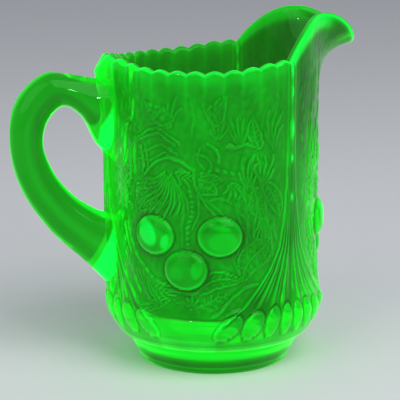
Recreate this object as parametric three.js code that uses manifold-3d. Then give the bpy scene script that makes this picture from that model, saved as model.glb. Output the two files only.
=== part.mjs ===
// Pressed-glass pitcher: a moulded bowl with a pouring lip, a loop handle and a collar foot.
// Millimetres, +Z up. The spout points to +X and the handle to -X. While the parts are made the
// bowl's axis is the Z axis; at the end the group moves so that the middle of its box is at X = 0.

import * as THREE from 'three';
import { mergeVertices } from 'three/addons/utils/BufferGeometryUtils.js';
import Module from 'manifold-3d';

// ---- driving dimensions ----

const GAP = 0.3; // clearance between pieces that meet

const BODY_RADIUS = 60.3; // outside of the straight wall
const BULGE = 4.3; // how far the petal band stands out past the wall
const BULGE_HEIGHT = 35.5; // height of the widest ring of the petal band
const BULGE_SPREAD = 11.5; // how far up the wall the band fades
const WALL = 5; // wall thickness
const BASE_BOW = 1.5; // how square the underside of the petal band is

const RIM_HEIGHT = 175.5; // lowest part of the rim, in the middle of a panel
const RIM_EDGE_HEIGHT = 2.6; // the rim's edge is bevelled over this height
const RIM_EDGE_WIDTH = 1.2; // and this width, on both sides
const DIVIDER_RISE = 4.6; // extra rim height at the dividers between panels
const SCALLOPS = 36; // rim scallops in a full turn
const SCALLOP_DEPTH = 1.8;
const SCALLOP_BULGE = 0.7; // flutes below the scallops
const FLUTE_LENGTH = 30; // how far down the flutes reach

const SPOUT_RISE = 23; // how far the spout's cheeks stand above the dividers
const SPOUT_HALF_ANGLE = 60; // degrees from the lip to the end of the spout
const CHEEK_ANGLE = 21; // degrees from the lip to the top of a cheek
const LIP_DROP = 6.7; // the wall at the lip is this much shorter than at the cheeks
const LIP_RADIUS = 24; // radius that the lip is folded out to
const LIP_FOLD = 17; // the fold begins this far below the rim
const LIP_SPREAD = 15.6; // degrees over which the fold fades

const PANELS = 3; // the mould has three parts, with a divider between each two
const COLUMN_PROUD = 4.2; // the divider behind the handle stands out as a rib
const COLUMN_SPREAD = 6.5; // degrees
const COLUMN_FLARE = 5; // the top of the rib leans out by this much more
const COLUMN_FLARE_LENGTH = 53; // measured down from the rim
const COLUMN_FLARE_SPREAD = 11; // degrees

const CHERRY_WIDTH = 25;
const CHERRY_HEIGHT = 22.5;
const CHERRY_RELIEF = 4.5;
const CHERRY_LOW = 66; // height of the bottom cherry's centre
const CHERRY_STEP = 19; // the two upper cherries sit this much higher
const CHERRY_SPACING = 18.8; // sideways distance from the bottom cherry to an upper one

const FLOOR_THICKNESS = 11; // the base slab
const FLOOR_CORNER = 13; // inside radius where the wall meets the floor

const FOOT_HEIGHT = 15;
const FOOT_TOP_RADIUS = 51;
const FOOT_BOTTOM_RADIUS = 45;
const FOOT_SWELL = 2.4; // the collar's side stands out this much more, low down
const FOOT_SWELL_HEIGHT = 6.75;
const FOOT_WALL = 7; // width of the ring that it stands on
const FOOT_ROUND = 1.6;
const FOOT_SIDES = 72;

const HANDLE_REACH = 49.3; // from the wall to the middle of the loop where it is furthest out
const HANDLE_THICKNESS = 20; // seen from the side, halfway down the loop
const HANDLE_WIDTH = 18.5; // seen from behind
const ROOT_HEIGHT = 40; // how tall the loop spreads where it joins the bowl
const UPPER_ROOT_DROP = 29.5; // middle of the upper root, below the rim
const LOWER_ROOT_RISE = 33.6; // middle of the lower root, above the widest ring
const HANDLE_STEPS = 30;
const HANDLE_SIDES = 18;

const SEGMENTS = 72; // around the bowl
const UNDERSIDE_TURNS = [18, 38, 60, 90]; // degrees, rows of the curved underside
const CORNER_TURNS = [30, 60, 90]; // degrees, rows of the inside corner
const ROW_STEP = 6; // between rows of the wall where the cherries are
const UPPER_ROW_STEP = 9; // between rows of the wall above them
const INNER_ROW_STEP = 10; // between rows inside, near the rim
const INNER_LONG_STEP = 25; // between rows inside, lower down
const MERGE = 1e-4; // points closer than this are one

// ---- the shape of the bowl ----

const DEGREE = Math.PI / 180;
const BASE = FOOT_HEIGHT + GAP; // the bowl's underside rests on the foot
const FLOOR = BASE + FLOOR_THICKNESS;
const STRETCH_LENGTH = 47; // this far down from the rim the wall follows the rim's rise
const LIP_START = RIM_HEIGHT - LIP_FOLD;

const clamp01 = (value) => Math.min(1, Math.max(0, value));
const bell = (value, spread) => Math.exp(-((value / spread) ** 2));

// Angle from the lip, 0 at the spout and 180 at the handle.
const fromLip = (angle) => Math.abs(((angle + 540) % 360) - 180);

function rimHeight(angle) {
  const away = fromLip(angle);
  const dividerTop = RIM_HEIGHT + DIVIDER_RISE;
  if (away > SPOUT_HALF_ANGLE) {
    const phase = (away - SPOUT_HALF_ANGLE) * DEGREE * (PANELS / 2);
    const scallop = SCALLOP_DEPTH * Math.abs(Math.sin((SCALLOPS / 2) * away * DEGREE));
    return RIM_HEIGHT + DIVIDER_RISE * Math.cos(phase) ** 4 + scallop - SCALLOP_DEPTH / 2;
  }
  const down = (away - CHEEK_ANGLE) / (SPOUT_HALF_ANGLE - CHEEK_ANGLE);
  if (down > 0) {
    return dividerTop + SPOUT_RISE * (1 - down * down) ** 0.9;
  }
  const dip = 0.5 + 0.5 * Math.cos((Math.PI * away) / CHEEK_ANGLE);
  return dividerTop + SPOUT_RISE - LIP_DROP * dip;
}

// Moulded relief on the outside, as a distance outwards.
function relief(angle, height) {
  const panel = 360 / PANELS;
  const sideways = (((angle + 720 + panel / 2) % panel) - panel / 2) * DEGREE * BODY_RADIUS;
  const above = clamp01((height - BULGE_HEIGHT) / BULGE_SPREAD);
  let out = COLUMN_PROUD * above * bell(180 - fromLip(angle), COLUMN_SPREAD);
  for (const [across, up] of [[-1, 1], [0, 0], [1, 1]]) {
    const u = (sideways - across * CHERRY_SPACING) / (CHERRY_WIDTH / 2);
    const v = (height - CHERRY_LOW - up * CHERRY_STEP) / (CHERRY_HEIGHT / 2);
    out = Math.max(out, CHERRY_RELIEF * Math.sqrt(Math.max(0, 1 - u * u - v * v)));
  }
  return out;
}

// A point of the bowl's wall: angle round the axis, height before the rim's rise, and depth
// inwards from the outer face. The answer is the distance from the axis and the height.
function wallPoint(angle, radius, height, depth) {
  const rise = clamp01(1 - (RIM_HEIGHT - height) / STRETCH_LENGTH);
  const stretched = height + rise * (rimHeight(angle) - RIM_HEIGHT);
  const away = fromLip(angle);
  let start = radius;
  const flare = clamp01(1 - (RIM_HEIGHT - stretched) / COLUMN_FLARE_LENGTH);
  start += COLUMN_FLARE * flare ** 1.4 * bell(180 - away, COLUMN_FLARE_SPREAD);
  if (away > SPOUT_HALF_ANGLE) {
    const flute = Math.abs(Math.sin((SCALLOPS / 2) * away * DEGREE)) - 0.5;
    start += SCALLOP_BULGE * flute * clamp01(1 - (RIM_HEIGHT - height) / FLUTE_LENGTH);
  }
  const along = stretched - LIP_START;
  const bend = bell(away, LIP_SPREAD) / LIP_RADIUS;
  if (along <= 0 || bend < 1e-5) {
    return [start - depth, stretched];
  }
  const turn = bend * along;
  const reach = start + (1 - Math.cos(turn)) / bend;
  const lift = LIP_START + Math.sin(turn) / bend;
  return [reach - depth * Math.cos(turn), lift + depth * Math.sin(turn)];
}

// The outer face from the underside to just below the rim, as [radius, height] rows.
function outerRows() {
  const rows = [[FOOT_TOP_RADIUS, BASE]];
  const underside = BULGE_HEIGHT - BASE;
  const widest = BODY_RADIUS + BULGE;
  for (const turn of UNDERSIDE_TURNS) {
    const inward = (widest - FOOT_TOP_RADIUS) * (1 - Math.sin(turn * DEGREE));
    const drop = underside * Math.cos(turn * DEGREE) ** BASE_BOW;
    rows.push([widest - inward, BULGE_HEIGHT - drop]);
  }
  const cherryTop = CHERRY_LOW + CHERRY_STEP + CHERRY_HEIGHT / 2;
  let height = BULGE_HEIGHT + ROW_STEP;
  while (height < RIM_HEIGHT - RIM_EDGE_HEIGHT - 1) {
    rows.push([BODY_RADIUS + BULGE * bell(height - BULGE_HEIGHT, BULGE_SPREAD), height]);
    height += height < cherryTop ? ROW_STEP : UPPER_ROW_STEP;
  }
  return rows;
}

// The rim's edge and the inside down to the middle of the floor, as [height, depth] rows.
function innerRows() {
  const bevel = RIM_HEIGHT - RIM_EDGE_HEIGHT;
  const rows = [
    [bevel, 0],
    [RIM_HEIGHT, RIM_EDGE_WIDTH],
    [RIM_HEIGHT, WALL - RIM_EDGE_WIDTH],
    [bevel, WALL],
  ];
  const cornerTop = FLOOR + FLOOR_CORNER;
  let height = RIM_HEIGHT - INNER_ROW_STEP;
  while (height > cornerTop + INNER_ROW_STEP) {
    rows.push([height, WALL]);
    height -= RIM_HEIGHT - height < STRETCH_LENGTH ? INNER_ROW_STEP : INNER_LONG_STEP;
  }
  rows.push([cornerTop, WALL]);
  for (const turn of CORNER_TURNS) {
    const inward = FLOOR_CORNER * (1 - Math.cos(turn * DEGREE));
    rows.push([cornerTop - FLOOR_CORNER * Math.sin(turn * DEGREE), WALL + inward]);
  }
  rows.push([FLOOR, BODY_RADIUS]);
  return rows;
}

// A closed outline for the lathe, then each of its points is moved to its place on the real wall.
// A solid vessel, without its inside and swollen a little, is what the handle is cut back to.
function makeVessel(hollow, swell) {
  const rows = outerRows().map(([radius, height]) => ({ radius, height, depth: -swell }));
  const outline = [{ radius: 0, height: BASE - swell, depth: 0 }, ...rows];
  outline[1].height -= swell;
  const bevel = RIM_HEIGHT - RIM_EDGE_HEIGHT;
  const edge = hollow ? innerRows() : [[bevel, 0], [bevel, BODY_RADIUS]];
  for (const [height, depth] of edge) {
    outline.push({ radius: BODY_RADIUS, height, depth: depth === 0 ? -swell : depth });
  }
  const points = outline.map(({ radius, height, depth }) => {
    const onAxis = radius === 0 || depth === BODY_RADIUS;
    return new THREE.Vector2(onAxis ? 0 : radius - depth, height);
  });
  const geometry = new THREE.LatheGeometry(points, SEGMENTS);
  geometry.rotateX(Math.PI / 2);
  const position = geometry.attributes.position;
  for (let index = 0; index < position.count; index += 1) {
    const { radius, height, depth } = outline[index % outline.length];
    if (radius === 0 || depth === BODY_RADIUS) {
      continue;
    }
    const column = Math.floor(index / outline.length) % SEGMENTS;
    const angle = -90 + (360 * column) / SEGMENTS;
    const raised = depth <= 0 ? relief(angle, height) : 0;
    const [reach, lift] = wallPoint(angle, radius + raised, height, depth);
    position.setXYZ(index, reach * Math.cos(angle * DEGREE), reach * Math.sin(angle * DEGREE), lift);
  }
  return closed(geometry);
}

// ---- solids ----

function closed(geometry) {
  geometry.deleteAttribute('normal');
  geometry.deleteAttribute('uv');
  const merged = mergeVertices(geometry, MERGE);
  merged.computeVertexNormals();
  return merged;
}

const wasm = await Module();
wasm.setup();

function toManifold(geometry) {
  const bare = new THREE.BufferGeometry();
  bare.setAttribute('position', geometry.attributes.position);
  bare.setIndex(geometry.index);
  const merged = mergeVertices(bare, MERGE);
  return new wasm.Manifold(
    new wasm.Mesh({
      numProp: 3,
      vertProperties: new Float32Array(merged.attributes.position.array),
      triVerts: new Uint32Array(merged.index.array),
    })
  );
}

function fromManifold(solid) {
  const mesh = solid.getMesh();
  const vertices = new Float32Array(mesh.vertProperties);
  const geometry = new THREE.BufferGeometry();
  geometry.setAttribute('position', new THREE.BufferAttribute(vertices, 3));
  geometry.setIndex(new THREE.BufferAttribute(new Uint32Array(mesh.triVerts), 1));
  geometry.computeVertexNormals();
  return geometry;
}

// ---- the handle: a loop of round glass that spreads at both roots ----

function makeHandle() {
  const half = HANDLE_THICKNESS / 2;
  const root = ROOT_HEIGHT / 2;
  const upper = RIM_HEIGHT - UPPER_ROOT_DROP;
  const lower = BULGE_HEIGHT + LOWER_ROOT_RISE;
  // Each section: how far out (1 is the reach), how far up from the lower root to the upper one,
  // half its thickness, and the direction of its outer side in degrees above straight out.
  const sections = [
    [-0.09, 0.96, root + 4, 90],
    [0.19, 1.035, root - 1.2, 90],
    [0.44, 1.16, half + 2.6, 74],
    [0.69, 1.2, half + 0.8, 60],
    [0.94, 1.04, half + 0.9, 39],
    [1, 0.8, half, 13],
    [0.885, 0.53, half + 0.5, -27],
    [0.62, 0.285, half + 2, -53],
    [0.31, 0.11, half + 5.2, -76],
    [0.1, 0.005, root, -86],
    [-0.09, -0.085, root + 5.5, -90],
  ];
  const middle = new THREE.CatmullRomCurve3(
    sections.map(([out, up]) => {
      const height = lower + up * (upper - lower);
      return new THREE.Vector3(-BODY_RADIUS - out * HANDLE_REACH, 0, height);
    })
  );
  const girth = new THREE.CatmullRomCurve3(
    sections.map(([, , size, direction]) => new THREE.Vector3(size, direction, 0))
  );
  const geometry = new THREE.CylinderGeometry(1, 1, 1, HANDLE_SIDES, HANDLE_STEPS);
  const position = geometry.attributes.position;
  for (let index = 0; index < position.count; index += 1) {
    const along = position.getY(index) + 0.5;
    const place = middle.getPoint(along);
    const { x: size, y: direction } = girth.getPoint(along);
    const across = position.getX(index) * size;
    place.x -= across * Math.cos(direction * DEGREE);
    place.z += across * Math.sin(direction * DEGREE);
    place.y = (-position.getZ(index) * HANDLE_WIDTH) / 2;
    position.setXYZ(index, place.x, place.y, place.z);
  }
  const loop = toManifold(closed(geometry));
  return fromManifold(loop.subtract(toManifold(makeVessel(false, GAP))));
}

// ---- the foot: a collar ring, open underneath ----

function makeFoot() {
  const standing = FOOT_BOTTOM_RADIUS - FOOT_ROUND;
  const recess = FOOT_BOTTOM_RADIUS - FOOT_WALL;
  const points = [
    [recess + FOOT_ROUND, 0],
    [standing, 0],
    [FOOT_BOTTOM_RADIUS, FOOT_ROUND],
    [FOOT_BOTTOM_RADIUS + FOOT_SWELL, FOOT_SWELL_HEIGHT],
    [FOOT_TOP_RADIUS, FOOT_HEIGHT],
    [recess, FOOT_HEIGHT],
    [recess, FOOT_ROUND],
    [recess + FOOT_ROUND, 0],
  ];
  const outline = points.map(([radius, height]) => new THREE.Vector2(radius, height));
  const geometry = new THREE.LatheGeometry(outline, FOOT_SIDES);
  geometry.rotateX(Math.PI / 2);
  return closed(geometry);
}

// ---- the assembly ----

const GLASS = { roughness: 0.06, metalness: 0, transparent: true, opacity: 0.8 };

const bowl = new THREE.Mesh(
  makeVessel(true, 0),
  new THREE.MeshStandardMaterial({ ...GLASS, color: 0x12c828, emissive: 0x0a7a14 })
);
bowl.name = 'bowl';

const handle = new THREE.Mesh(
  makeHandle(),
  new THREE.MeshStandardMaterial({ ...GLASS, color: 0x0fae1c, emissive: 0x08690f })
);
handle.name = 'handle';

const foot = new THREE.Mesh(
  makeFoot(),
  new THREE.MeshStandardMaterial({ ...GLASS, color: 0x0a8c12, emissive: 0x064f08 })
);
foot.name = 'foot';

const pitcher = new THREE.Group();
pitcher.add(bowl, handle, foot);

const box = new THREE.Box3().setFromObject(pitcher);
pitcher.position.set(-(box.min.x + box.max.x) / 2, -(box.min.y + box.max.y) / 2, -box.min.z);
pitcher.updateMatrixWorld(true);

export default pitcher;
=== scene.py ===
"""Pressed-glass pitcher with a painted green glow: a moulded bowl, a loop handle and a collar foot."""

import math

import bmesh
import bpy
import numpy as np
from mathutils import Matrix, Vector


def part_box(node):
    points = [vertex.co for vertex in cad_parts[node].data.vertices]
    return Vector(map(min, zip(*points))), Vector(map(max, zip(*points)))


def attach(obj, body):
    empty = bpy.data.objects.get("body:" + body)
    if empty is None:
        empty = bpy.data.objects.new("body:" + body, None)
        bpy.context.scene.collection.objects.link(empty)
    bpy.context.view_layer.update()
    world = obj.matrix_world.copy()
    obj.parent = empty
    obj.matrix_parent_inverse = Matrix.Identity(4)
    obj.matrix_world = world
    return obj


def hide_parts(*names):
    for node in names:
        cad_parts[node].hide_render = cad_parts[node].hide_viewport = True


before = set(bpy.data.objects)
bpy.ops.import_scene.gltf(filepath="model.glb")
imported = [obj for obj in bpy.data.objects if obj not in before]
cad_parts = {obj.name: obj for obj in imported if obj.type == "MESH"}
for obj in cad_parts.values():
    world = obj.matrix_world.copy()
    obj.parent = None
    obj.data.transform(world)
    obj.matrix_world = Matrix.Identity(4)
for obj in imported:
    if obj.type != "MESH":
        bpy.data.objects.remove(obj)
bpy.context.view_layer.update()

# ---------------------------------------------------------------- camera
# A long lens looks slightly down on the pitcher from its left front, spout to the right.

foot_low, foot_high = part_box("foot")
AXIS_X = (foot_low.x + foot_high.x) / 2  # the bowl stands round a vertical line through here

VIEW_AZIMUTH = math.radians(-15.5)
VIEW_PITCH = math.radians(12.6)
VIEW_DISTANCE = 0.85
EYE_HEIGHT = 0.2825
SENSOR_WIDTH = 36
LENS_LENGTH = 133.1
SIDE_SHIFT = -0.034

camera_data = bpy.data.cameras.new("camera")
camera_data.sensor_width = SENSOR_WIDTH
camera_data.lens = LENS_LENGTH
camera_data.shift_x = SIDE_SHIFT
camera_data.clip_start = 0.01
camera = bpy.data.objects.new("camera", camera_data)
camera.location = (
    AXIS_X + math.sin(VIEW_AZIMUTH) * VIEW_DISTANCE,
    -math.cos(VIEW_AZIMUTH) * VIEW_DISTANCE,
    EYE_HEIGHT,
)
camera.rotation_euler = (math.pi / 2 - VIEW_PITCH, 0, VIEW_AZIMUTH)
bpy.context.scene.collection.objects.link(camera)
bpy.context.scene.camera = camera

# ---------------------------------------------------------------- floor and light
# A plain pale floor, an even pale surround and two soft lamps, low enough for the glow to show,
# with two very small lamps that only make glints.

FLOOR_SIZE = 12.0
FLOOR_GREY = (0.8, 0.81, 0.83, 1)
FLOOR_ROUGHNESS = 0.7
SURROUND_COLOR = (0.9, 0.93, 1, 1)
SURROUND_STRENGTH = 0.36

scene = bpy.context.scene
scene.view_settings.view_transform = "Standard"

floor_mesh = bmesh.new()
bmesh.ops.create_grid(floor_mesh, x_segments=1, y_segments=1, size=FLOOR_SIZE / 2)
floor_data = bpy.data.meshes.new("floor")
floor_mesh.to_mesh(floor_data)
floor_mesh.free()
floor = bpy.data.objects.new("floor", floor_data)
scene.collection.objects.link(floor)

floor_paint = bpy.data.materials.new("floor_paint")
floor_paint.use_nodes = True
floor_shader = floor_paint.node_tree.nodes["Principled BSDF"]
floor_shader.inputs["Base Color"].default_value = FLOOR_GREY
floor_shader.inputs["Roughness"].default_value = FLOOR_ROUGHNESS
floor_data.materials.append(floor_paint)

surround = bpy.data.worlds.new("surround")
surround.use_nodes = True
sky = surround.node_tree.nodes["Background"]
sky.inputs["Color"].default_value = SURROUND_COLOR
sky.inputs["Strength"].default_value = SURROUND_STRENGTH
scene.world = surround


def soft_lamp(name, place, aim, size, power):
    """A square lamp of the given side, turned towards a point on the pitcher's axis."""
    data = bpy.data.lights.new(name, "AREA")
    data.size = size
    data.energy = power
    lamp = bpy.data.objects.new(name, data)
    lamp.location = (AXIS_X + place[0], place[1], place[2])
    away = lamp.location.copy()
    away.x -= AXIS_X
    away.z -= aim
    lamp.rotation_euler = away.to_track_quat("Z", "Y").to_euler()
    scene.collection.objects.link(lamp)


soft_lamp("key", place=(0.5, -1.2, 1.35), aim=0.12, size=1.5, power=20)
soft_lamp("fill", place=(-1.1, -0.9, 1.0), aim=0.1, size=1.2, power=6)
soft_lamp("right_glint", place=(0.45, -1.3, 0.62), aim=0.1, size=0.05, power=0.9)
soft_lamp("left_glint", place=(-0.85, -1.0, 0.75), aim=0.1, size=0.045, power=0.6)

# ---------------------------------------------------------------- bowl
# The body of the pitcher, pressed in one go from uranium glass between a three-part mould and a
# plunger: a thick base slab, a band of petals, ribs that fan out from three dividers, three
# panels of cherries and leaves, a scalloped rim, and a lip that was folded out while hot.

MM = 0.001
bowl_low, bowl_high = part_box("bowl")

BULGE = 4.3 * MM
BODY_RADIUS = (bowl_high.y - bowl_low.y) / 2 - BULGE
BULGE_HEIGHT = 35.5 * MM
BULGE_SPREAD = 11.5 * MM
WALL = 5 * MM
BASE = bowl_low.z
FLOOR = BASE + 11 * MM
FLOOR_CORNER = 13 * MM
FOOT_TOP_RADIUS = (foot_high.y - foot_low.y) / 2

SPOUT_RISE = 23 * MM
DIVIDER_RISE = 4.6 * MM
TOP_CLEARANCE = 0.35 * MM
RIM = bowl_high.z - SPOUT_RISE - DIVIDER_RISE - TOP_CLEARANCE
SPOUT_HALF_ANGLE = 60.0
CHEEK_ANGLE = 21.0
LIP_DROP = 6.7 * MM
LIP_RADIUS = 24 * MM
LIP_START = RIM - 17 * MM
LIP_SPREAD = 15.6
STRETCH_LENGTH = 47 * MM

SCALLOPS = 36
SCALLOP_DEPTH = 1.8 * MM
SCALLOP_BULGE = 0.7 * MM
FLUTE_LENGTH = 30 * MM

COLUMN_PROUD = 4.2 * MM
COLUMN_SPREAD = 6.5
COLUMN_FLARE = 5 * MM
COLUMN_FLARE_LENGTH = 53 * MM
COLUMN_FLARE_SPREAD = 11.0
NEARLY_NOTHING = 1e-9

PANEL_ANGLE = 120.0
TURNS = 540
ROW_STEP = 1.02 * MM
UPPER_ROW_STEP = 1.4 * MM
UPPER_ROWS_FROM = 148 * MM


def bell(value, spread):
    """A smooth hump: 1 at a value of 0, and nearly nothing past twice the spread."""
    return np.exp(-((value / spread) ** 2))


def smooth(low, high, value):
    """Rises smoothly from 0 at low to 1 at high, or falls where low is the larger."""
    part = np.clip((value - low) / (high - low), 0, 1)
    return part * part * (3 - 2 * part)


def rim_height(away):
    """Height of the rim at an angle away from the lip: scallops, dividers, cheeks and lip."""
    phase = np.radians((away - SPOUT_HALF_ANGLE) * 1.5)
    wave = np.abs(np.sin(np.radians(away) * SCALLOPS / 2))
    panel = RIM + DIVIDER_RISE * np.cos(phase) ** 4 + SCALLOP_DEPTH * (wave - 0.5)
    down = np.clip((away - CHEEK_ANGLE) / (SPOUT_HALF_ANGLE - CHEEK_ANGLE), 0, 1)
    cheek = SPOUT_RISE * (1 - down * down) ** 0.9
    dip = 0.5 + 0.5 * np.cos(np.pi * np.clip(away / CHEEK_ANGLE, 0, 1))
    spout = RIM + DIVIDER_RISE + cheek - LIP_DROP * dip
    return np.where(away > SPOUT_HALF_ANGLE, panel, spout)


def wall_place(away, radius, height, depth):
    """Where a point of the wall ends up: distance from the axis, and height."""
    rise = np.clip(1 - (RIM - height) / STRETCH_LENGTH, 0, 1)
    stretched = height + rise * (rim_height(away) - RIM)
    flare = np.clip(1 - (RIM - stretched) / COLUMN_FLARE_LENGTH, 0, 1)
    start = radius + COLUMN_FLARE * flare**1.4 * bell(180 - away, COLUMN_FLARE_SPREAD)
    flute = np.abs(np.sin(np.radians(away) * SCALLOPS / 2)) - 0.5
    fade = np.clip(1 - (RIM - height) / FLUTE_LENGTH, 0, 1) * smooth(58, 66, away)
    start = start + SCALLOP_BULGE * flute * fade
    along = np.maximum(stretched - LIP_START, 0)
    bend = bell(away, LIP_SPREAD) / LIP_RADIUS + NEARLY_NOTHING
    turn = bend * along
    reach = start + (1 - np.cos(turn)) / bend - depth * np.cos(turn)
    folded = LIP_START + np.sin(turn) / bend + depth * np.sin(turn)
    lift = np.where(stretched > LIP_START, folded, stretched)
    return reach, lift


def through(values, part):
    """A Catmull-Rom curve through the values, at part 0 to 1 of the way along."""
    spans = len(values) - 1
    where = min(part * spans, spans - 1e-6)
    index = int(where)
    t = where - index
    start, end = values[index], values[index + 1]
    before = values[index - 1] if index > 0 else 2 * start - end
    after = values[index + 2] if index + 2 <= spans else 2 * end - start
    return 0.5 * (
        2 * start + (end - before) * t + (2 * before - 5 * start + 4 * end - after) * t * t
        + (3 * start - before - 3 * end + after) * t**3
    )


# The shapes below are drawn on a panel laid flat: side is the way sideways from its middle and
# level the height, both in mm and both whole grids. Each gives how far it stands up, with most
# of them about 1 at their highest.


def along_line(side, level, start, end, bow):
    """How far along a bowed line a point is, unclipped and clipped, how far off it, and its length."""
    run, rise = end[0] - start[0], end[1] - start[1]
    length = math.hypot(run, rise)
    along = ((side - start[0]) * run + (level - start[1]) * rise) / length**2
    off = ((level - start[1]) * run - (side - start[0]) * rise) / length
    part = np.clip(along, 0, 1)
    return along, part, off - bow * length * 4 * part * (1 - part), length


def stroke(side, level, start, end, width, bow=0.0):
    """A raised stroke that swells in its middle and tapers at both ends; bow bends it."""
    along, part, off, length = along_line(side, level, start, end, bow)
    past = (along - part) * length
    return bell(np.hypot(off, past), width * (0.55 + 0.45 * np.sin(np.pi * part)))


def stem(side, level, points, width):
    """A raised line of even width that runs smoothly through a few points."""
    nearest = np.full(side.shape, 1e3)
    pieces = 4 * (len(points) - 1)
    ways = [np.array([point[axis] for point in points], dtype=float) for axis in (0, 1)]
    places = [[through(way, step / pieces) for way in ways] for step in range(pieces + 1)]
    for start, end in zip(places, places[1:]):
        run, rise = end[0] - start[0], end[1] - start[1]
        along = ((side - start[0]) * run + (level - start[1]) * rise) / (run * run + rise * rise)
        part = np.clip(along, 0, 1)
        off = np.hypot(side - start[0] - part * run, level - start[1] - part * rise)
        nearest = np.minimum(nearest, off)
    return bell(nearest, width)


def beaded_stem(side, level, points, width, swing, side_pitch, level_pitch):
    """A stem that swells and thins in beads as it goes."""
    beads = 1 + swing * np.cos(side * side_pitch + level * level_pitch)
    return beads * stem(side, level, points, width)


def leaf(side, level, base, tip, width, bow=0.0, veins=6, teeth=0.0):
    """A pressed leaf: a low blade with a raised outline, a midrib and slanting veins."""
    along, part, off, length = along_line(side, level, base, tip, bow)
    saw = 1 + teeth * (np.abs((part * veins * 2) % 1 - 0.5) * 2 - 0.5)
    half = width * np.sin(np.pi * part**0.8) ** 0.8 * saw + 1e-3
    edge = np.abs(off) / half
    inside = smooth(1.3, 0.9, edge) * smooth(-0.02, 0.03, along) * smooth(1.02, 0.97, along)
    outline = bell((edge - 0.9) * half, 0.8)
    slant = (part * veins - np.abs(off) / width * 0.9) % 1 - 0.5
    vein = bell(slant * length / veins, 0.6)
    return inside * (0.35 + 0.85 * np.maximum.reduce([outline, 0.9 * bell(off, 0.7), 0.5 * vein]))


def tuft(side, level, root, start, stop, count, long, width, bow=0.0):
    """Tapered strokes that spread from one root between two directions, in degrees."""
    raised = np.zeros(side.shape)
    for index in range(count):
        share = index / max(1, count - 1)
        turn = math.radians(start + (stop - start) * share)
        reach = long * (1 - 0.3 * (2 * share - 1) ** 2) * (0.88 + 0.12 * (index % 2))
        near = (root[0] + 0.14 * reach * math.cos(turn), root[1] + 0.14 * reach * math.sin(turn))
        tip = (root[0] + reach * math.cos(turn), root[1] + reach * math.sin(turn))
        raised = np.maximum(raised, stroke(side, level, near, tip, width, bow))
    return raised


def frond(side, level, base, tip, count, barb, width, droop=50):
    """A feathery frond: a spine with tapered barbs slanting off both its sides."""
    raised = stroke(side, level, base, tip, width, 0.04)
    run, rise = tip[0] - base[0], tip[1] - base[1]
    heading = math.atan2(rise, run)
    for index in range(count):
        share = (index + 0.5) / count
        root = (base[0] + run * share, base[1] + rise * share)
        reach = barb * math.sin(math.pi * share**0.8) + 1.5
        for hand in (-1, 1):
            turn = heading + hand * math.radians(droop)
            end = (root[0] + reach * math.cos(turn), root[1] + reach * math.sin(turn))
            one = 0.85 * stroke(side, level, root, end, 0.85 * width, -0.12 * hand)
            raised = np.maximum(raised, one)
    return raised


# each cherry: across, up, and the direction of the side where its painted shade lies, in degrees
CHERRIES = [(-19.5, 84, 200), (-0.4, 65.4, -60), (18.8, 85, -40)]
CHERRY_WIDTH = 25
CHERRY_HEIGHT = 22.5
CHERRY_RELIEF = 4.3
# painted highlights inside the fruit: across, up, half length, half width, slant, strength
FRUIT_HIGHLIGHTS = [
    (-21.8, 85.8, 7.8, 5.2, -0.5, 0.33),
    (-11.6, 81.6, 4.4, 2.0, 0.3, 0.24),
    (6.4, 66.8, 5.0, 3.0, 0.15, 0.15),
    (-4.5, 64.0, 3.4, 3.8, 0.3, 0.06),
    (18.4, 91.0, 1.5, 6.0, 0.25, 0.13),
    (20.2, 82.6, 5.6, 7.6, 0.1, 0.12),
]
PATTERN_RELIEF = 1.05
PETAL_RELIEF = 1.6
GROUND_RELIEF = 0.07
GROOVE_HEIGHTS = (33.2, 28.6, 24.4)
BAND_TOP = 37.6
BAND_SINK = 1.5
BAND_SINK_SPREAD = 12
JOINT_HEIGHT = 21.6
# how bright the painted glow is on the panel, the painted highlight its crests get and the painted shade
# at the bottom of its slopes
PANEL_GLOW = 0.46
CREST_GLOW = 0.22
SLOPE_SHADE = 0.24
# half the width of a divider's fan at each height, then its ribs' places as shares of it
FAN_EDGE_HEIGHTS = [30, 37.5, 43.8, 53.6, 63.3, 75.8, 92, 110, 125, 240]
FAN_EDGE_REACH = [46, 39.9, 31.4, 22.7, 15.4, 8.8, 5.2, 3.6, 3.0, 3.0]
FAN_RIBS = [0.22, 0.46, 0.73, 1.0]
FAN_FINE_RIBS = [0.11, 0.34, 0.6, 0.87]
# each petal: degrees from the divider, width and height
PETALS = [(4.4, 8.8, 19), (13.5, 9.8, 18.5), (24.8, 12.6, 17), (38, 14.6, 15.5)]
# height, half length and half width of the beads on each divider's quill
QUILL_BEADS = [(170, 3.6, 1.0), (160, 4.2, 1.0), (141, 6.5, 1.8), (126, 3, 1.1), (104, 3, 1.1)]


def divider_relief(off, level):
    """The quill between two panels: a centre line with beads, and ribs that fan out below."""
    edge = np.interp(level, FAN_EDGE_HEIGHTS, FAN_EDGE_REACH)
    raised = np.zeros(off.shape)
    sharp = 0.5 + 0.03 * edge
    for share in FAN_RIBS:
        rib = bell(off - share * edge, sharp)
        rib = rib * smooth(38, 47, level) * (1 - 0.5 * smooth(110, 150, level))
        raised = np.maximum(raised, rib)
    for share in FAN_FINE_RIBS:
        rib = 0.5 * bell(off - share * edge, 0.8 * sharp)
        raised = np.maximum(raised, rib * smooth(44, 52, level) * smooth(112, 84, level))
    raised = np.maximum(raised, bell(off, 0.85) * smooth(60, 84, level) * 1.15)
    for middle, long, wide in QUILL_BEADS:
        bead = bell(np.hypot(off / wide, (level - middle) / long), 1.0)
        raised = np.maximum(raised, 1.8 * bead)
    return raised * smooth(edge + 3.5, edge + 0.4, off)


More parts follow.
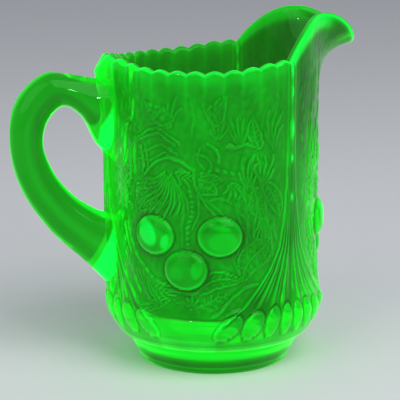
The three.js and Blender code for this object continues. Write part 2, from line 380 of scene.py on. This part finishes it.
def petal_relief(off, level):
    """Eight petals under each fan, upright in the middle and leaning at the ends, and their gaps for
    painted shade.
    """
    raised = np.zeros(off.shape)
    gap_shade = np.zeros(off.shape)
    bulge_radius = (BODY_RADIUS + BULGE) / MM
    degrees = np.degrees(off / (BODY_RADIUS / MM))
    for place, wide, tall in PETALS:
        lean = 0.016 * place
        upward = level - (34.2 - 0.07 * max(0, place - 14))
        sideways = np.radians(degrees - place) * bulge_radius + upward * lean
        away = np.sqrt((sideways / (wide / 2)) ** 2 + (upward / (tall / 2)) ** 2)
        raised = np.maximum(raised, np.sqrt(np.clip(1 - away**2.4, 0, 1)))
        gap_shade = np.maximum(gap_shade, bell(away - 1.06, 0.07))
    return raised, gap_shade * (1 - smooth(0, 0.3, raised))


# The stems, leaves and strokes of one panel: how high each one stands as a share of
# PATTERN_RELIEF, then its shape and its sizes.
PATTERN = [
    # the spray at the left, above the fruit
    (1.0, tuft, (-9, 121), 194, 290, 11, 30, 0.95, 0.09),
    (0.7, tuft, (-13, 116), 200, 270, 7, 24, 0.8, -0.1),
    (0.8, leaf, (-16, 115), (-31, 97), 9.0, 0.05, 8, 0.25),
    (1.0, tuft, (-6, 121), 296, 352, 4, 13, 0.95, 0.15),
    (0.7, tuft, (-4, 112), 250, 300, 5, 17, 0.8, 0.08),
    # the arched stem over it, and the twigs to the fruit
    (1.1, stem, [(-26, 118), (-21, 123.5), (-15, 126.6), (-8, 127.6), (-2, 126.4), (4, 123)], 1.0),
    (0.8, stem, [(4, 123), (6, 114), (11, 104), (17.5, 95)], 0.8),
    (0.7, stem, [(2, 122), (-5, 111), (-12, 103), (-17.5, 95.5)], 0.8),
    (0.7, beaded_stem, [(2.8, 112), (2.4, 95), (0.4, 77)], 1.2, 0.5, 0, 2.1),
    (0.6, stroke, (7, 112), (4, 88), 0.8, 0.04),
    (0.5, stroke, (-2, 102), (-3, 80), 0.8, 0.04),
    # nested strokes at the upper left
    (0.8, stroke, (-34, 117), (-31, 137), 0.9, 0.1),
    (1.0, stroke, (-28, 119), (-28.5, 134), 0.9, -0.12),
    (0.9, stroke, (-24.5, 120), (-25, 135), 0.8, -0.12),
    (0.7, stroke, (-37, 114), (-36, 134), 0.8, 0.1),
    (0.8, stem, [(-35, 132), (-27, 138.6), (-17, 140.5), (-7, 136)], 0.9),
    (0.8, stem, [(-32, 137), (-23, 143), (-13, 142.5), (-4, 137)], 0.8),
    (0.7, stem, [(-26, 131), (-16, 134.4), (-6, 131)], 0.8),
    (0.6, stroke, (-30, 126), (-12, 131), 0.8, -0.08),
    (0.8, leaf, (-6, 150), (-25, 157), 5.0, 0.12, 6, 0.2),
    (0.7, leaf, (-7, 147), (-25, 147), 4.2, -0.12, 6, 0.2),
    (0.7, tuft, (-7, 148), 62, 128, 4, 14, 0.9, 0.12),
    (0.8, tuft, (-43, 139), 58, 84, 4, 22, 0.9, -0.06),
    (0.8, tuft, (-45, 118), 66, 92, 3, 22, 0.85, 0.06),
    (0.8, frond, (-43, 96), (-39, 122), 6, 4.6, 0.8),
    # curls and a small flower to the right of the middle
    (1.0, stem, [(13, 136.5), (16.5, 134.5), (18.8, 131), (18, 127)], 1.1),
    (1.0, stem, [(23, 136), (27, 134.4), (31, 135.4), (36, 134.8)], 1.1),
    (0.7, stem, [(6, 131), (11, 129), (13.5, 125), (12, 121)], 0.9),
    (0.6, stem, [(8, 134), (6, 128), (9, 123)], 0.8),
    (0.6, beaded_stem, [(8, 120.5), (18, 122), (30, 120.5)], 1.1, 2 / 3, 1.5, 0),
    (0.7, leaf, (6, 113), (18, 108), 3.8, 0.15, 5, 0.2),
    (0.7, leaf, (7, 118), (20, 116.5), 3.6, -0.1, 5, 0.2),
    (0.8, tuft, (23, 115), 250, 345, 5, 11, 1.0, 0.12),
    (0.5, stroke, (9, 108), (22, 95), 0.8, 0.05),
    (0.6, stroke, (14, 106), (26, 103), 0.8, 0.1),
    (0.7, leaf, (18, 148), (23, 163), 3.8, 0.1, 5, 0.15),
    (0.7, leaf, (17, 147), (9, 159), 3.8, -0.1, 5, 0.15),
    (0.6, tuft, (18, 139), 55, 130, 5, 12, 0.9, 0.08),
    (0.5, stroke, (2, 160), (4, 140), 0.9, 0.05),
    # the foliage on the right
    (0.9, tuft, (34, 110), 50, 112, 5, 20, 1.0, 0.07),
    (0.9, tuft, (43, 111), 58, 116, 5, 21, 1.0, -0.07),
    (0.7, leaf, (44, 115), (54, 94), 6.0, 0.06, 8),
    (0.55, leaf, (38, 112), (43, 94), 5.0, -0.04, 8, 0.15),
    (0.5, leaf, (31, 110), (34, 93), 4.2, 0.04, 7, 0.15),
    (0.7, stem, [(33, 128), (31, 112), (35, 97), (33, 80), (37, 66)], 0.9),
    (0.7, stem, [(38, 130), (36, 115), (40, 99), (37, 82), (41, 68)], 0.9),
    (0.6, stem, [(43, 126), (42, 110), (45, 96), (42, 80)], 0.85),
    (0.6, stem, [(28, 104), (30, 90), (27, 74), (30, 62)], 0.85),
    (0.8, tuft, (44, 97), 236, 290, 6, 19, 0.9, 0.08),
    (0.8, tuft, (50, 131), 62, 112, 5, 22, 0.95, 0.07),
    (0.8, leaf, (40, 133), (38, 151), 4.6, 0.08, 7, 0.15),
    (0.7, tuft, (30, 134), 66, 124, 5, 18, 0.9, 0.08),
    (0.7, leaf, (48, 83), (30, 59), 8.2, -0.06, 9, 0.12),
    (0.7, tuft, (31, 92), 246, 292, 4, 20, 0.85, 0.07),
    (0.6, tuft, (51, 92), 250, 280, 3, 20, 0.85, -0.07),
    # the ground under the fruit
    (1.1, stem, [(-27, 62.5), (-19.4, 57.5), (-9, 52.6), (1, 52.0), (8, 54)], 0.9),
    (1.0, leaf, (6, 53.6), (31, 60.5), 5.4, 0.12, 7),
    (1.0, stem, [(14, 40), (21, 43.5), (27, 51), (32, 55.4), (41, 55.8)], 0.95),
    (0.8, stem, [(22, 40), (31, 43), (37, 49), (41, 55)], 0.85),
    (0.6, frond, (2, 43), (24, 51), 5, 4, 0.8),
    (1.1, tuft, (-20, 60), 286, 336, 5, 18, 0.9, -0.12),
    (1.2, tuft, (-28, 65), 284, 332, 6, 24, 0.95, -0.12),
    (1.2, tuft, (-36, 74), 280, 318, 6, 30, 0.95, -0.1),
    (0.9, stem, [(-40, 88), (-35, 72), (-26, 60), (-14, 52)], 0.9),
    (0.8, stem, [(-43, 86), (-38, 68), (-29, 56), (-17, 47)], 0.9),
    (0.9, tuft, (-30, 57), 106, 132, 4, 31, 1.0, 0.06),
    (0.6, tuft, (-8, 49), 190, 215, 4, 24, 0.8, 0.05),
    (0.5, stroke, (-6, 46), (14, 44), 0.8, 0.06),
    (0.8, tuft, (3, 44.5), 20, 160, 5, 7, 0.9),
]

# One panel is worked out on a fine grid: sideways from its middle, and up, in mm.
GRID_STEP = 0.4
PANEL_HALF = math.radians(PANEL_ANGLE / 2) * BODY_RADIUS / MM
grid_across = np.linspace(-PANEL_HALF, PANEL_HALF, 2 * round(PANEL_HALF / GRID_STEP) + 1)
grid_up = np.arange(12.0, 180.0, GRID_STEP)
across, height = np.meshgrid(grid_across, grid_up)
from_divider = PANEL_HALF - np.abs(across)
to_edge = from_divider - np.interp(height, FAN_EDGE_HEIGHTS, FAN_EDGE_REACH)
wander = 0.8 * np.sin(height * 0.23 + 0.13 * across) + 0.12 * np.sin(height * 0.71 - 0.2 * across)
sway = 0.7 * np.sin(across * 0.27 + 0.11 * height) + 0.12 * np.sin(across * 0.8 + 0.3 * height)
pattern = np.zeros(across.shape)
for strength, shape, *sizes in PATTERN:
    pattern = np.maximum(pattern, strength * shape(across + wander, height + sway, *sizes))
pattern = pattern * smooth(38, 40, height) * smooth(0.8, 2.4, to_edge) * smooth(170, 158, height)
pattern = pattern * (1 - 0.35 * smooth(134, 150, height))
# the polished ground between the leaves is never quite flat
ground = 0.0
for pitch_across, pitch_up, shift in ((0.9, 0.5, 0), (-0.7, 0.8, 2), (1.3, -0.4, 4), (0.3, 1.2, 1)):
    ground = ground + np.sin(pitch_across * (across + wander) + pitch_up * (height + 2 * sway) + shift)
ground = GROUND_RELIEF * ground * smooth(38, 44, height) * smooth(1, 6, to_edge) * smooth(173, 160, height)
band = smooth(BAND_TOP, BAND_TOP - 1.8, height) * smooth(-2, 2.5, to_edge) * smooth(21, 29, height)
for groove in GROOVE_HEIGHTS:
    band = band + 0.45 * bell(height - groove, 0.7) * smooth(0, 5, to_edge)
frame_line = bell(to_edge, 0.9) * smooth(34, 37, height) * smooth(124, 96, height)
petals, gap_shade = petal_relief(from_divider, height)
fan = divider_relief(from_divider, height)
panel = PATTERN_RELIEF * np.maximum.reduce([pattern, band, frame_line, fan]) * smooth(19, 24, height)
panel = panel + ground + PETAL_RELIEF * petals * smooth(17, 22, height)
panel = panel - BAND_SINK * bell(height - BULGE_HEIGHT / MM, BAND_SINK_SPREAD)
# painted light and shade round the cherries: a little brighter inside, painted shadow round each one,
# deepest on its darker side, a bright painted rim low down, a darker ring up top, then the painted
# highlights
fruit_light_and_shade = np.zeros(panel.shape)
for place, level, dark_side in CHERRIES:
    out = np.hypot((across - place) / (CHERRY_WIDTH / 2), (height - level) / (CHERRY_HEIGHT / 2))
    dome = 0.2 + CHERRY_RELIEF * np.sqrt(np.clip(1 - out * out, 0, 1))
    panel = np.where(out < 1, dome, panel * smooth(1.0, 1.1, out) - 0.2 * bell(out - 1.05, 0.05))
    shadow = 0.6 + 0.4 * np.cos(np.arctan2(height - level, across - place) - math.radians(dark_side))
    fruit_light_and_shade = fruit_light_and_shade + 0.05 * smooth(1, 0.8, out)
    fruit_light_and_shade = fruit_light_and_shade - 0.2 * shadow * bell(out - 1.07, 0.1)
    fruit_light_and_shade = fruit_light_and_shade + 0.24 * bell(out - 0.89, 0.07) * smooth(3, -8, height - level)
    fruit_light_and_shade = fruit_light_and_shade - 0.06 * shadow * bell(out - 1.25, 0.2)
    fruit_light_and_shade = fruit_light_and_shade - 0.1 * bell(out - 0.72, 0.12) * smooth(-2, 6, height - level)
for place, level, long, wide, slant, strength in FRUIT_HIGHLIGHTS:
    along = (height - level) * math.cos(slant) + (across - place) * math.sin(slant)
    aside = (across - place) * math.cos(slant) - (height - level) * math.sin(slant)
    fruit_light_and_shade = fruit_light_and_shade + strength * smooth(1.15, 0.85, np.hypot(aside / wide, along / long))

# The painted glow of each place: painted highlights on crests, and painted shade at the bottom of a slope.
rise_across = np.gradient(panel, GRID_STEP, axis=1)
rise_up = np.gradient(panel, GRID_STEP, axis=0)
crest = -(np.gradient(rise_across, GRID_STEP, axis=1) + np.gradient(rise_up, GRID_STEP, axis=0))
crest = np.clip(crest / 2.2, -1, 1)
ribbed = smooth(1.5, -0.5, to_edge)
glow = np.where(crest > 0, CREST_GLOW + 0.2 * ribbed, SLOPE_SHADE + 0.12 * ribbed) * crest
glow = PANEL_GLOW + glow + fruit_light_and_shade - 0.06 * np.clip(rise_up, -1, 1)
# painted light low down and on the petals; painted shade low in the fans, in the petals' gaps, along the
# joint line and at the band's top
low_light = smooth(42, 32, height)
glow = glow + 0.15 * low_light + 0.13 * petals * smooth(17, 22, height)
glow = glow - ribbed * low_light * (0.13 * smooth(23, 29, height) + 0.03)
glow = glow - 0.12 * gap_shade * smooth(22, 26, height)
glow = glow - 0.14 * bell(height - JOINT_HEIGHT, 0.7)
glow = glow + 0.05 * smooth(JOINT_HEIGHT - 1, JOINT_HEIGHT - 2, height)
glow = glow - 0.06 * ribbed * smooth(120, 96, height)
glow = glow - 0.2 * bell(height - BAND_TOP, 0.8) * (1 - ribbed)
# the painted glow is uneven inside: a few broad, faint clouds of it
clouds = np.sin(0.13 * across + 0.07 * height) * np.sin(0.11 * height - 0.05 * across + 1)
glow = glow + 0.035 * clouds + 0.025 * np.sin(0.31 * across + 0.19 * height + 2)
# painted highlights on the quill's beads
beads = np.zeros(panel.shape)
for level, long, wide in QUILL_BEADS:
    beads = np.maximum(beads, bell(np.hypot(from_divider / wide, (height - level) / long), 1.0))
glow = glow + 0.34 * beads
# painted streaks of light down the rim's flutes, and a brighter painted band under the rim
scallop_angle = 360 / SCALLOPS
scallop = np.abs((np.degrees(across * MM / BODY_RADIUS) + 720) % scallop_angle / scallop_angle - 0.5)
flute = bell((0.5 - scallop) * scallop_angle, 1.0)
glow = glow + 0.06 * flute * smooth(142, 168, height) + 0.05 * smooth(160, 173, height)


def on_panel(chart, angle, up):
    """Reads a chart of one panel at any angle round the bowl and height, between grid points."""
    sideways = (angle + 720 + PANEL_ANGLE / 2) % PANEL_ANGLE / PANEL_ANGLE * (chart.shape[1] - 1)
    column = np.clip(sideways.astype(int), 0, chart.shape[1] - 2)
    level = np.clip((up - grid_up[0]) / GRID_STEP, 0, chart.shape[0] - 2)
    row = level.astype(int)
    part, lift = sideways - column, level - row
    low = chart[row, column] * (1 - part) + chart[row, column + 1] * part
    high = chart[row + 1, column] * (1 - part) + chart[row + 1, column + 1] * part
    return low * (1 - lift) + high * lift


def outer_profile():
    """The outer face from the underside up: (radius, height) points."""
    points = []
    widest = BODY_RADIUS + BULGE
    steps = 17
    for step in range(steps + 1):
        turn = math.pi / 2 * step / steps
        inward = (widest - FOOT_TOP_RADIUS) * (1 - math.sin(turn))
        points.append((widest - inward, BULGE_HEIGHT - (BULGE_HEIGHT - BASE) * math.cos(turn) ** 1.5))
    height = BULGE_HEIGHT + ROW_STEP
    while height < RIM - WALL / 2:
        points.append((BODY_RADIUS + BULGE * bell(height - BULGE_HEIGHT, BULGE_SPREAD), height))
        height += ROW_STEP if height < UPPER_ROWS_FROM else UPPER_ROW_STEP
    return points


def bowl_rows():
    """Every row of the section as (radius, height, depth) from the outside round to the inside."""
    rows = [(0, BASE, 0), (FOOT_TOP_RADIUS * 0.5, BASE, 0)]
    rows += [(radius, height, 0) for radius, height in outer_profile()]
    bead = 8
    for step in range(bead + 1):
        turn = math.pi * step / bead
        depth = WALL / 2 * (1 - math.cos(turn))
        rows.append((BODY_RADIUS, RIM - WALL / 2 + WALL / 2 * math.sin(turn), depth))
    inner = 16
    for step in range(1, inner + 1):
        drop = (RIM - WALL / 2 - FLOOR - FLOOR_CORNER) * (step / inner) ** 1.3
        rows.append((BODY_RADIUS, RIM - WALL / 2 - drop, WALL))
    corner = 6
    for step in range(1, corner + 1):
        turn = math.pi / 2 * step / corner
        depth = WALL + FLOOR_CORNER * (1 - math.cos(turn))
        rows.append((BODY_RADIUS, FLOOR + FLOOR_CORNER * (1 - math.sin(turn)), depth))
    rows.append((BODY_RADIUS * 0.35, FLOOR, 0))
    rows.append((0, FLOOR, 0))
    return rows


def spin_section(rows, turns):
    """Spins (radius, height) rows once round the bowl's axis; depth rides along as a layer."""
    shape = bmesh.new()
    layer = shape.verts.layers.float.new("depth")
    below = None
    for radius, height, depth in rows:
        corner = shape.verts.new((AXIS_X + radius - depth, 0, height))
        corner[layer] = depth
        if below is not None:
            shape.edges.new((below, corner))
        below = corner
    bmesh.ops.spin(
        shape, geom=shape.verts[:] + shape.edges[:], cent=(AXIS_X, 0, 0), axis=(0, 0, 1),
        angle=2 * math.pi, steps=turns, use_merge=True,
    )
    bmesh.ops.remove_doubles(shape, verts=shape.verts[:], dist=1e-6)
    bmesh.ops.recalc_face_normals(shape, faces=shape.faces[:])
    return shape


def finish_piece(name, shape, glow, material, node):
    """Writes a bmesh and its glow to a smooth object that stands for a CAD node."""
    data = bpy.data.meshes.new(name)
    shape.to_mesh(data)
    shape.free()
    data.shade_smooth()
    data.attributes.new("glow", "FLOAT", "POINT").data.foreach_set("value", glow.astype(np.float32))
    data.materials.append(material)
    piece = bpy.data.objects.new(name, data)
    scene.collection.objects.link(piece)
    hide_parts(node)
    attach(piece, "root")


def coordinates(shape):
    """Where the corners of a bmesh are, one row each."""
    shape.verts.ensure_lookup_table()
    return np.array([corner.co[:] for corner in shape.verts])


def move_to(shape, places):
    """Puts the corners of a bmesh at new places, one row each."""
    for corner, place in zip(shape.verts, places):
        corner.co = place


# The plain spun section is raised by the panel's relief, then stretched and folded at the rim.
bowl_shape = spin_section(bowl_rows(), TURNS)
bowl_depth = np.array([v[bowl_shape.verts.layers.float["depth"]] for v in bowl_shape.verts])
bowl_at = coordinates(bowl_shape)
bowl_angle = np.degrees(np.arctan2(bowl_at[:, 1], bowl_at[:, 0] - AXIS_X))
bowl_reach = np.hypot(bowl_at[:, 0] - AXIS_X, bowl_at[:, 1])
bowl_height = bowl_at[:, 2]
bowl_away = np.abs(bowl_angle)

on_face = (bowl_reach > FOOT_TOP_RADIUS * 0.9) & (bowl_depth < WALL / 2 + 1e-9)
face_part = on_face * np.clip(1 - bowl_depth / (WALL / 2), 0, 1)
face = np.flatnonzero(face_part > 0)
bowl_raise = np.zeros(len(bowl_at))
bowl_raise[face] = on_panel(panel, bowl_angle[face], bowl_height[face] / MM) * MM
column_start = np.clip((bowl_height - BULGE_HEIGHT) / BULGE_SPREAD, 0, 1)
bowl_raise = bowl_raise + COLUMN_PROUD * column_start * bell(180 - bowl_away, COLUMN_SPREAD)
bowl_raise = bowl_raise * face_part * smooth(RIM, RIM - 8 * MM, bowl_height)
walled = (bowl_depth > 0) | on_face
start_radius = bowl_reach + bowl_depth + bowl_raise
moved_reach, moved_height = wall_place(bowl_away, start_radius, bowl_height, bowl_depth)
floor_like = ~walled
moved_reach = np.where(floor_like, bowl_reach, moved_reach)
moved_height = np.where(floor_like, bowl_height, moved_height)
radians = np.radians(bowl_angle)
move_to(bowl_shape, np.stack([
    AXIS_X + moved_reach * np.cos(radians), moved_reach * np.sin(radians), moved_height
], axis=1))

# The painted glow over the whole bowl: dim inside, as the chart says outside, full in the rim's edge,
# dim again on the spout's cheeks, and painted light at the back where the handle lights it.
in_from_face = bowl_depth / WALL
on_edge = (bowl_height > RIM - WALL / 2 - 1e-6) * (in_from_face < 0.99)
on_edge = on_edge * smooth(0.0, 0.12, in_from_face)
edge_glow = 0.92 - 0.66 * smooth(0.2, 0.5, in_from_face)
bowl_glow = 0.02 + 0.08 * smooth(RIM - 8 * MM, RIM - 1 * MM, bowl_height)
bowl_glow = bowl_glow + 0.14 * smooth(46 * MM, 26 * MM, bowl_height)
bowl_glow[face] = on_panel(glow, bowl_angle[face], bowl_height[face] / MM)
# painted shade down the spout's throat, and painted light high on its cheeks and in a band under the rim
throat = smooth(60, 50, bowl_away) * smooth(RIM - 60 * MM, RIM - 30 * MM, bowl_height) * face_part
bowl_glow = bowl_glow - 0.21 * throat
cheek = smooth(14, 24, bowl_away) * smooth(62, 56, bowl_away) * face_part
bowl_glow = bowl_glow + 0.5 * cheek * smooth(RIM - 7 * MM, RIM - 3.4 * MM, bowl_height)
top_band = smooth(56, 62, bowl_away) * face_part * smooth(RIM - 9 * MM, RIM - 2.6 * MM, bowl_height)
bowl_glow = bowl_glow + 0.1 * top_band
# painted light at the back, where the handle lights it
behind = bell(180 - bowl_away, 9) * smooth(RIM - 34 * MM, RIM - 10 * MM, bowl_height) * face_part
bowl_glow = bowl_glow + 0.2 * behind
bowl_glow = bowl_glow * (1 - on_edge) + edge_glow * on_edge
bowl_glow = np.clip(bowl_glow, 0.02, 1)

# Uranium glass is clear and yellow-green; its glow here is painted on as emission, with no lamp that
# makes it glow. Edges and thick places, where the light piles up, are painted the brightest. First the
# colours of the light that passes through glass with dim and bright painted glow, then of the painted glow
# itself, from a dark hollow to a full edge.
DIM_TINT = (0.01, 0.14, 0.008, 1)
BRIGHT_TINT = (0.005, 0.28, 0.01, 1)
GLINT_TINT = (0.16, 0.55, 0.2, 1)
GLOW_STOPS = [
    (0.0, (0.006, 0.012, 0.004, 1)),
    (0.3, (0.008, 0.09, 0.005, 1)),
    (0.5, (0.006, 0.26, 0.006, 1)),
    (0.72, (0.004, 0.55, 0.014, 1)),
    (1.0, (0.002, 1.0, 0.08, 1)),
]
GLOW_STRENGTH = 0.93
GLASS_IOR = 1.5
GLASS_ROUGHNESS = (0.02, 0.07)
RIPPLE_DEPTH = 1 * MM
CLOUD_SCALE = 34
CLOUD_SHARE = 0.1


def striae_group():
    """Faint ripples that pressing leaves in the glass, as a normal and a roughness, and a cloud that makes
    the painted glow uneven.
    """
    group = bpy.data.node_groups.new("striae", "ShaderNodeTree")
    face = group.interface
    face.new_socket("Scale", in_out="INPUT", socket_type="NodeSocketFloat")
    face.new_socket("Ripple", in_out="INPUT", socket_type="NodeSocketFloat")
    face.new_socket("Normal", in_out="OUTPUT", socket_type="NodeSocketVector")
    face.new_socket("Roughness", in_out="OUTPUT", socket_type="NodeSocketFloat")
    face.new_socket("Cloud", in_out="OUTPUT", socket_type="NodeSocketFloat")
    nodes, links = group.nodes, group.links
    inside = nodes.new("NodeGroupInput")
    outside = nodes.new("NodeGroupOutput")
    where = nodes.new("ShaderNodeTexCoord")
    ripple = nodes.new("ShaderNodeTexNoise")
    ripple.inputs["Detail"].default_value = 2
    links.new(where.outputs["Object"], ripple.inputs["Vector"])
    links.new(inside.outputs["Scale"], ripple.inputs["Scale"])
    bump = nodes.new("ShaderNodeBump")
    bump.inputs["Distance"].default_value = RIPPLE_DEPTH
    links.new(inside.outputs["Ripple"], bump.inputs["Strength"])
    links.new(ripple.outputs["Fac"], bump.inputs["Height"])
    rough = nodes.new("ShaderNodeMapRange")
    rough.inputs["To Min"].default_value, rough.inputs["To Max"].default_value = GLASS_ROUGHNESS
    links.new(ripple.outputs["Fac"], rough.inputs["Value"])
    cloud = nodes.new("ShaderNodeTexNoise")
    cloud.inputs["Scale"].default_value = CLOUD_SCALE
    cloud.inputs["Detail"].default_value = 3
    links.new(where.outputs["Object"], cloud.inputs["Vector"])
    links.new(bump.outputs["Normal"], outside.inputs["Normal"])
    links.new(rough.outputs["Result"], outside.inputs["Roughness"])
    links.new(cloud.outputs["Fac"], outside.inputs["Cloud"])
    return group


STRIAE = striae_group()


def uranium_glass(name, ripple_scale, ripple):
    """Glass with a painted glow, as emission, that follows the glow attribute of the mesh that it is on.
    """
    glass = bpy.data.materials.new(name)
    glass.use_nodes = True
    nodes, links = glass.node_tree.nodes, glass.node_tree.links
    shader = nodes["Principled BSDF"]
    shader.inputs["Transmission Weight"].default_value = 1.0
    shader.inputs["Metallic"].default_value = 0.0
    shader.inputs["IOR"].default_value = GLASS_IOR
    shader.inputs["Specular Tint"].default_value = GLINT_TINT
    shader.inputs["Emission Strength"].default_value = GLOW_STRENGTH
    striae = nodes.new("ShaderNodeGroup")
    striae.node_tree = STRIAE
    striae.inputs["Scale"].default_value = ripple_scale
    striae.inputs["Ripple"].default_value = ripple
    links.new(striae.outputs["Normal"], shader.inputs["Normal"])
    links.new(striae.outputs["Roughness"], shader.inputs["Roughness"])
    glow = nodes.new("ShaderNodeAttribute")
    glow.attribute_name = "glow"
    # the cloud makes the painted glow, and the tint it picks, uneven
    cloudy = nodes.new("ShaderNodeMath")
    cloudy.operation = "MULTIPLY_ADD"
    links.new(striae.outputs["Cloud"], cloudy.inputs[0])
    cloudy.inputs[1].default_value = CLOUD_SHARE
    links.new(glow.outputs["Fac"], cloudy.inputs[2])
    light = nodes.new("ShaderNodeValToRGB")
    links.new(cloudy.outputs["Value"], light.inputs["Fac"])
    ramp = light.color_ramp
    ramp.elements[0].position, ramp.elements[0].color = GLOW_STOPS[0]
    ramp.elements[1].position, ramp.elements[1].color = GLOW_STOPS[-1]
    for position, color in GLOW_STOPS[1:-1]:
        ramp.elements.new(position).color = color
    # the painted glow goes into the emission colour
    links.new(light.outputs["Color"], shader.inputs["Emission Color"])
    shade = nodes.new("ShaderNodeMix")
    shade.data_type = "RGBA"
    links.new(cloudy.outputs["Value"], shade.inputs["Factor"])
    shade.inputs["A"].default_value = DIM_TINT
    shade.inputs["B"].default_value = BRIGHT_TINT
    links.new(shade.outputs["Result"], shader.inputs["Base Color"])
    return glass


bowl_glass = uranium_glass("bowl_glass", ripple_scale=90, ripple=0.12)
finish_piece("pressed_bowl", bowl_shape, bowl_glow, bowl_glass, "bowl")

# ---------------------------------------------------------------- handle
# A thick loop of plain uranium glass, drawn out hot and fused to the wall at a tall upper root
# and at a lower root that runs down to a tongue. Its fused ends get the brightest painted glow.

handle_low, handle_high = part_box("handle")
LOOP_REACH = 49.1 * MM
HALF_THICK = 10 * MM
HALF_ROOT = 20 * MM
HALF_WIDTH = (handle_high.y - handle_low.y) / 2
UPPER_ROOT = RIM - 29.5 * MM
LOWER_ROOT = BULGE_HEIGHT + 33.6 * MM
LOOP_SIDES = 80
LOOP_STEPS = 260
# out from the wall (1 is the reach), up between the roots, half thickness, direction in degrees
LOOP_SECTIONS = [
    (-0.09, 0.96, HALF_ROOT + 4 * MM, 90),
    (0.19, 1.035, HALF_ROOT - 1.2 * MM, 90),
    (0.44, 1.16, HALF_THICK + 2.6 * MM, 74),
    (0.69, 1.2, HALF_THICK + 0.8 * MM, 60),
    (0.94, 1.04, HALF_THICK + 0.9 * MM, 39),
    (1, 0.8, HALF_THICK, 13),
    (0.885, 0.53, HALF_THICK + 0.5 * MM, -27),
    (0.62, 0.285, HALF_THICK + 2 * MM, -53),
    (0.31, 0.11, HALF_THICK + 5.2 * MM, -76),
    (0.1, 0.005, HALF_ROOT, -86),
    (-0.09, -0.085, HALF_ROOT + 5.5 * MM, -90),
]

handle_shape = bmesh.new()
bmesh.ops.create_cone(
    handle_shape, cap_ends=True, cap_tris=False, segments=LOOP_SIDES, radius1=1, radius2=1, depth=1
)
long_edges = [e for e in handle_shape.edges if abs(e.verts[0].co.z - e.verts[1].co.z) > 0.5]
bmesh.ops.subdivide_edges(handle_shape, edges=long_edges, cuts=LOOP_STEPS, use_grid_fill=True)
loop_values = [np.array([row[column] for row in LOOP_SECTIONS]) for column in range(4)]
handle_at = coordinates(handle_shape)
loop_side = handle_at[:, 0].copy()
for index, (x, y, z) in enumerate(handle_at):
    part = z + 0.5
    out, up, size, direction = (through(values, part) for values in loop_values)
    direction = math.radians(direction)
    middle_x = AXIS_X - BODY_RADIUS - out * LOOP_REACH - x * size * math.cos(direction)
    middle_z = LOWER_ROOT + up * (UPPER_ROOT - LOWER_ROOT) + x * size * math.sin(direction)
    handle_at[index] = (middle_x, -y * HALF_WIDTH, middle_z)
move_to(handle_shape, handle_at)
bmesh.ops.recalc_face_normals(handle_shape, faces=handle_shape.faces[:])

# How the painted glow lies on the loop: painted bright where it is fused to the wall, along the finger
# gap's edge and in a thin line along the outer edge.
BETWEEN_ROOTS = 105
UPPER_FUSED_HEIGHTS = [122, 131, 140, 149, 156]
UPPER_FUSED_REACH = [7, 9, 8.4, 2.5, 0]
LOWER_FUSED_HEIGHTS = [44, 60, 70, 82, 88]
LOWER_FUSED_REACH = [16, 12.5, 7, 1.4, 0]
stand_off = (AXIS_X - BODY_RADIUS - handle_at[:, 0]) / MM
loop_up = handle_at[:, 2] / MM
fused = np.where(
    loop_up > BETWEEN_ROOTS,
    np.interp(loop_up, UPPER_FUSED_HEIGHTS, UPPER_FUSED_REACH),
    np.interp(loop_up, LOWER_FUSED_HEIGHTS, LOWER_FUSED_REACH),
)
root_light = smooth(fused + 0.7, fused - 0.7, stand_off) * (fused > 0.2)
root_light = root_light * smooth(-2, 0.5, stand_off)
handle_glow = 0.35 + 0.36 * smooth(-0.79, -0.92, loop_side)
handle_glow = handle_glow + 0.04 * smooth(0.9, 1.0, loop_side)
handle_glow = handle_glow + 0.06 * bell(loop_side + 0.45, 0.3) * smooth(112, 84, loop_up)
handle_glow = handle_glow + 0.06 * bell(loop_side - 0.1, 0.16) - 0.05 * bell(loop_side + 0.35, 0.25)
handle_glow = handle_glow * (1 - root_light) + 0.93 * root_light
handle_glass = uranium_glass("handle_glass", ripple_scale=60, ripple=0.06)
finish_piece("loop_handle", handle_shape, handle_glow, handle_glass, "handle")

# ---------------------------------------------------------------- foot
# The short collar that the pitcher stands on: a thick ring of uranium glass, hollow underneath,
# that flares up to the base slab and is fused to it while hot.

FOOT_TURNS = 192
RING_INSIDE = 38
# radius and height, in mm: round the ring's edge, up the flare and back down the inside
FOOT_OUTLINE = [
    (38, 1.6), (38.2, 0.9), (38.8, 0.3), (39.6, 0), (43.4, 0), (44.2, 0.25), (44.8, 0.8), (45, 1.6),
    (45.3, 2.4), (45.7, 3.2), (46.1, 4), (46.5, 4.8), (47, 5.8), (47.4, 6.75), (47.9, 7.9), (48.3, 9),
    (48.8, 10.2), (49.3, 11.5), (50.1, 13.2), (51, 15), (38, 15), (38, 12), (38, 9), (38, 6), (38, 3.5),
]
foot_shape = bmesh.new()
foot_ring = [
    foot_shape.verts.new((AXIS_X + radius * MM, 0, row * MM)) for radius, row in FOOT_OUTLINE
]
for index, corner in enumerate(foot_ring):
    foot_shape.edges.new((corner, foot_ring[(index + 1) % len(foot_ring)]))
bmesh.ops.spin(
    foot_shape, geom=foot_shape.verts[:] + foot_shape.edges[:], cent=(AXIS_X, 0, 0), axis=(0, 0, 1),
    angle=2 * math.pi, steps=FOOT_TURNS, use_merge=True,
)
bmesh.ops.remove_doubles(foot_shape, verts=foot_shape.verts[:], dist=1e-6)
bmesh.ops.recalc_face_normals(foot_shape, faces=foot_shape.faces[:])
foot_at = coordinates(foot_shape)
foot_up = foot_at[:, 2] / MM
foot_reach = np.hypot(foot_at[:, 0] - AXIS_X, foot_at[:, 1]) / MM
# painted glow: brighter high on the ring's inner wall; outside, a painted lit band at the top, painted
# shade in a dark band under it, and a thin painted bright line near the ground
foot_glow = np.where(
    foot_reach < RING_INSIDE + 0.1,
    0.3 + 0.6 * smooth(6, 9, foot_up),
    0.22 + 0.34 * smooth(8.8, 10.8, foot_up) + 0.1 * smooth(2.2, 0.8, foot_up)
    + 0.26 * bell(foot_up - 3.6, 0.7),
)
foot_glass = uranium_glass("foot_glass", ripple_scale=60, ripple=0.06)
finish_piece("collar_foot", foot_shape, foot_glow, foot_glass, "foot")
